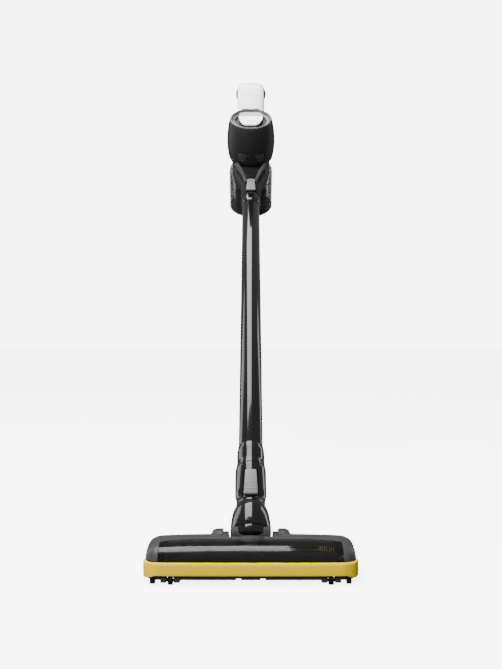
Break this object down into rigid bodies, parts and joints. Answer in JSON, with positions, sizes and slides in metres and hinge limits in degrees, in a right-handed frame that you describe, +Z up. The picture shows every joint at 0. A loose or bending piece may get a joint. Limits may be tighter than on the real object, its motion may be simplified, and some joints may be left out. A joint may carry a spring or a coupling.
{
  "type": "cordless stick vacuum cleaner",
  "caption": "Cordless stick vacuum cleaner with a motorised floor head, steering neck, slim suction tube, dust container, motor tower and looped handle.",
  "frame": {"origin": "middle of the hand grip, on the handle's centre line, where a hand holds the cleaner", "axes": "+Z up, the floor head's front towards -Y, +X to the right side of the cleaner as seen from behind it"},
  "size_m": [0.2648, 0.8955, 0.8513],
  "materials": {
    "charcoal": "fine matt dark plastic",
    "graphite": "satin grey-black plastic",
    "black": "polished black",
    "white": "polished white",
    "grey": "satin mid grey plastic",
    "yellow": "satin yellow plastic",
    "smoked": "clear smoked plastic",
    "rubber": "soft matt rubber",
    "bristle": "nylon tufts",
    "metal": "plain steel",
    "motor_can": "hollow wound motor in an aluminium can",
    "board": "circuit board",
    "paper": "pleated filter medium",
    "panel": "pale grey panel",
    "impeller": "moulded impeller"
  },
  "bodies": {
    "hand_unit": {"inlet_housing": "charcoal", "exhaust_ring": "graphite", "motor_collar": "charcoal", "motor_cover": "charcoal", "fan_motor": "motor_can", "control_board": "board", "top_bezel": "graphite", "panel_tray": "charcoal", "indicator_panel": "panel", "handle_shell": "white", "grip_lining": "rubber", "grip_pad_right": "rubber", "grip_pad_left": "rubber", "battery_dock": "charcoal"},
    "fan": {"fan_impeller": "impeller"},
    "mode_button": {"mode_button": "white"},
    "trigger": {"trigger": "grey"},
    "upper_button": {"upper_release_button": "grey"},
    "container": {"dust_container": "smoked", "container_base_ring": "graphite", "cyclone_core": "graphite", "cyclone_mesh": "metal", "filter_cartridge": "paper"},
    "flap": {"bottom_flap": "graphite"},
    "flap_latch": {"flap_latch": "grey"},
    "battery": {"battery_pack": "charcoal"},
    "battery_button": {"battery_release": "grey"},
    "tube": {"suction_tube": "black", "tube_lower_sleeve": "black", "tube_upper_sleeve": "black", "tube_power_lead": "rubber"},
    "neck": {"swivel_neck": "black", "neck_socket": "black"},
    "lower_button": {"lower_release_button": "grey"},
    "yoke": {"yoke_drum": "charcoal"},
    "head": {"head_chassis": "charcoal", "bumper": "yellow", "roller_window": "smoked", "top_cover": "graphite", "end_cap_right": "graphite", "end_cap_left": "graphite", "hinge_pin_right": "metal", "hinge_pin_left": "metal", "rear_axle_right": "metal", "rear_axle_left": "metal", "drive_belt": "rubber", "brush_motor": "motor_can", "roller_bearing": "metal"},
    "roller": {"roller_core": "charcoal", "bristle_row_a": "bristle", "bristle_row_b": "bristle", "roller_pulley": "charcoal"},
    "motor_pulley": {"motor_pulley": "metal"},
    "roller_lock": {"roller_lock_knob": "grey"},
    "front_wheel_right": {"front_wheel_right": "rubber"},
    "front_wheel_left": {"front_wheel_left": "rubber"},
    "rear_wheel_right": {"rear_wheel_hub_right": "graphite", "rear_tyre_right": "rubber"},
    "rear_wheel_left": {"rear_wheel_hub_left": "graphite", "rear_tyre_left": "rubber"}
  },
  "joints": [
    {"name": "tube_release", "type": "slide", "parent": "hand_unit", "child": "tube", "axis": [0, -0.7385, -0.6743], "range_m": [0, 0.06]},
    {"name": "neck_release", "type": "slide", "parent": "tube", "child": "neck", "axis": [0, -0.7385, -0.6743], "range_m": [0, 0.06]},
    {"name": "neck_swivel", "type": "hinge", "parent": "neck", "child": "yoke", "pos_m": [0, -0.73739, -0.76], "axis": [0, 0.7385, 0.6743], "range_deg": [-75, 75]},
    {"name": "head_pitch", "type": "hinge", "parent": "yoke", "child": "head", "pos_m": [0, -0.73739, -0.76], "axis": [1, 0, 0], "range_deg": [-47, 38]},
    {"name": "roller_spin", "type": "hinge", "parent": "head", "child": "roller", "pos_m": [0, -0.77839, -0.7765], "axis": [1, 0, 0], "continuous": true},
    {"name": "motor_pulley_spin", "type": "hinge", "parent": "head", "child": "motor_pulley", "pos_m": [-0.1156, -0.72939, -0.775], "axis": [1, 0, 0], "continuous": true},
    {"name": "roller_lock_turn", "type": "hinge", "parent": "head", "child": "roller_lock", "pos_m": [0.122, -0.77839, -0.7765], "axis": [1, 0, 0], "range_deg": [0, 90]},
    {"name": "front_wheel_right_spin", "type": "hinge", "parent": "head", "child": "front_wheel_right", "pos_m": [0.098, -0.79989, -0.7925], "axis": [1, 0, 0], "continuous": true},
    {"name": "front_wheel_left_spin", "type": "hinge", "parent": "head", "child": "front_wheel_left", "pos_m": [-0.098, -0.79989, -0.7925], "axis": [1, 0, 0], "continuous": true},
    {"name": "rear_wheel_right_spin", "type": "hinge", "parent": "head", "child": "rear_wheel_right", "pos_m": [0.046, -0.69739, -0.7765], "axis": [1, 0, 0], "continuous": true},
    {"name": "rear_wheel_left_spin", "type": "hinge", "parent": "head", "child": "rear_wheel_left", "pos_m": [-0.046, -0.69739, -0.7765], "axis": [1, 0, 0], "continuous": true},
    {"name": "lower_button_press", "type": "slide", "parent": "neck", "child": "lower_button", "axis": [0, 0.6743, -0.7385], "range_m": [0, 0.002], "stiffness_N_per_m": 900, "springref_m": -0.003},
    {"name": "upper_button_press", "type": "slide", "parent": "hand_unit", "child": "upper_button", "axis": [0, 0.6743, -0.7385], "range_m": [0, 0.002], "stiffness_N_per_m": 900, "springref_m": -0.003},
    {"name": "container_release", "type": "slide", "parent": "hand_unit", "child": "container", "axis": [0, 0.6743, -0.7385], "range_m": [0, 0.12]},
    {"name": "flap_hinge", "type": "hinge", "parent": "container", "child": "flap", "pos_m": [0, 0.04929, -0.16462], "axis": [1, 0, 0], "range_deg": [0, 95]},
    {"name": "flap_latch_lift", "type": "slide", "parent": "container", "child": "flap_latch", "axis": [0, -0.6743, 0.7385], "range_m": [0, 0.003], "stiffness_N_per_m": 600, "springref_m": -0.003},
    {"name": "battery_release_slide", "type": "slide", "parent": "hand_unit", "child": "battery", "axis": [0, 0.7385, 0.6743], "range_m": [0, 0.1]},
    {"name": "battery_button_press", "type": "slide", "parent": "battery", "child": "battery_button", "axis": [0, -0.7385, -0.6743], "range_m": [0, 0.0018], "stiffness_N_per_m": 700, "springref_m": -0.003},
    {"name": "trigger_pull", "type": "slide", "parent": "hand_unit", "child": "trigger", "axis": [0, 0.7385, 0.6743], "range_m": [0, 0.0045], "stiffness_N_per_m": 500, "springref_m": -0.004},
    {"name": "mode_button_press", "type": "slide", "parent": "hand_unit", "child": "mode_button", "axis": [0, 0.6743, -0.7385], "range_m": [0, 0.0014], "stiffness_N_per_m": 700, "springref_m": -0.002},
    {"name": "fan_spin", "type": "hinge", "parent": "hand_unit", "child": "fan", "pos_m": [0, -0.09109, -0.08859], "axis": [0, -0.6743, 0.7385], "continuous": true}
  ],
  "couplings": [
    {"joint": "motor_pulley_spin", "follows": "roller_spin", "ratio": 1.8333}
  ]
}
